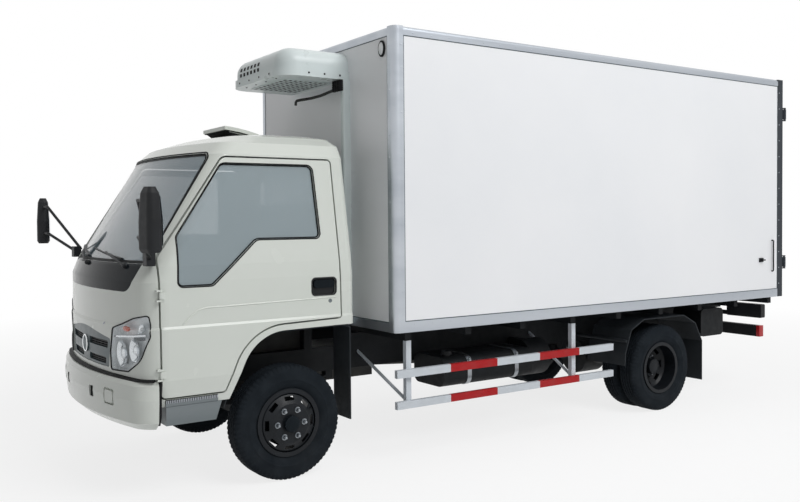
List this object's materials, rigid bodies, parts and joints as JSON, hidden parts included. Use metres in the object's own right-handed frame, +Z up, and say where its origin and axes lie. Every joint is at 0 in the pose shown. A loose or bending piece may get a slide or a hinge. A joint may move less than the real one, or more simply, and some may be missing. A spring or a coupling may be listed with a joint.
{
  "type": "refrigerated light truck",
  "caption": "Cab-over light truck with an insulated box body, a cooling unit above the cab, side guards, twin rear wheels, hinged cab doors and rear doors, and steered front wheels",
  "frame": {"origin": "on the ground below the middle of the overall box", "axes": "X to the truck's left, Y to its rear, Z up; the cab faces -Y"},
  "size_m": [2.5982, 5.9969, 2.82],
  "materials": {
    "cab_paint": "smooth cream-white paint",
    "panel_white": "white glass-fibre panel",
    "rail_aluminium": "satin extrusion",
    "rear_steel": "brushed steel",
    "frame_black": "black chassis paint",
    "rim_black": "black wheel paint",
    "tyre_rubber": "matt rubber",
    "window_glass": "tinted glass",
    "lamp_clear": "clear lens over a bright reflector",
    "lamp_red": "red lens",
    "black_plastic": "black plastic",
    "grille_grey": "grey plastic",
    "guard_silver": "silver paint with red bands",
    "seat_fabric": "woven cloth",
    "dash_grey": "grained plastic",
    "unit_white": "white moulded shell",
    "drive_metal": "cast metal"
  },
  "bodies": {
    "chassis": {"frame_rails": "frame_black", "frame_cross_pieces": "frame_black", "axles_and_springs": "frame_black", "drive_train": "drive_metal", "underframe_units": "frame_black", "side_guards": "guard_silver", "tail_lamps": "lamp_red", "mudguards": "black_plastic", "front_bumper": "cab_paint", "cab_floor": "black_plastic", "cab_front": "cab_paint", "cab_rear_shell": "cab_paint", "cab_roof": "cab_paint", "cowl_panel": "black_plastic", "grille": "grille_grey", "headlamps": "lamp_clear", "cab_glass": "window_glass", "cab_steps": "rail_aluminium", "mirrors": "black_plastic", "dash_and_wheel": "dash_grey", "seats": "seat_fabric", "box_floor": "rail_aluminium", "box_roof": "panel_white", "box_walls": "panel_white", "box_edge_rails": "rail_aluminium", "rear_frame": "rear_steel", "cooling_unit": "unit_white"},
    "steering_left": {"knuckle_left": "frame_black"},
    "front_wheel_left": {"front_tyre_left": "tyre_rubber", "front_rim_left": "rim_black"},
    "rear_wheels_left": {"rear_tyres_left": "tyre_rubber", "rear_rims_left": "rim_black"},
    "cab_door_body_left": {"cab_door_left": "cab_paint", "door_glass_left": "window_glass"},
    "box_door_body_left": {"box_door_left": "panel_white", "box_door_fittings_left": "rear_steel"},
    "steering_right": {"knuckle_right": "frame_black"},
    "front_wheel_right": {"front_tyre_right": "tyre_rubber", "front_rim_right": "rim_black"},
    "rear_wheels_right": {"rear_tyres_right": "tyre_rubber", "rear_rims_right": "rim_black"},
    "cab_door_body_right": {"cab_door_right": "cab_paint", "door_glass_right": "window_glass"},
    "box_door_body_right": {"box_door_right": "panel_white", "box_door_fittings_right": "rear_steel"}
  },
  "joints": [
    {"name": "steer_left", "type": "hinge", "parent": "chassis", "child": "steering_left", "pos_m": [0.6, -1.9385, 0.353], "axis": [0, 0, 1], "range_deg": [-35, 35]},
    {"name": "steer_right", "type": "hinge", "parent": "chassis", "child": "steering_right", "pos_m": [-0.6, -1.9385, 0.353], "axis": [0, 0, 1], "range_deg": [-35, 35]},
    {"name": "front_spin_left", "type": "hinge", "parent": "steering_left", "child": "front_wheel_left", "pos_m": [0.716, -1.9385, 0.353], "axis": [1, 0, 0], "continuous": true},
    {"name": "rear_spin_left", "type": "hinge", "parent": "chassis", "child": "rear_wheels_left", "pos_m": [0.702, 1.4215, 0.353], "axis": [1, 0, 0], "continuous": true},
    {"name": "cab_door_left_hinge", "type": "hinge", "parent": "chassis", "child": "cab_door_body_left", "pos_m": [0.847, -2.7465, 1.2], "axis": [0, 0, -1], "range_deg": [0, 65]},
    {"name": "box_door_left_hinge", "type": "hinge", "parent": "chassis", "child": "box_door_body_left", "pos_m": [0.98, 2.9855, 1.8], "axis": [0, 0, -1], "range_deg": [0, 265]},
    {"name": "front_spin_right", "type": "hinge", "parent": "steering_right", "child": "front_wheel_right", "pos_m": [-0.716, -1.9385, 0.353], "axis": [1, 0, 0], "continuous": true},
    {"name": "rear_spin_right", "type": "hinge", "parent": "chassis", "child": "rear_wheels_right", "pos_m": [-0.702, 1.4215, 0.353], "axis": [1, 0, 0], "continuous": true},
    {"name": "cab_door_right_hinge", "type": "hinge", "parent": "chassis", "child": "cab_door_body_right", "pos_m": [-0.847, -2.7465, 1.2], "axis": [0, 0, 1], "range_deg": [0, 65]},
    {"name": "box_door_right_hinge", "type": "hinge", "parent": "chassis", "child": "box_door_body_right", "pos_m": [-0.98, 2.9855, 1.8], "axis": [0, 0, 1], "range_deg": [0, 265]}
  ],
  "couplings": [
    {"joint": "steer_right", "follows": "steer_left", "ratio": 1}
  ]
}
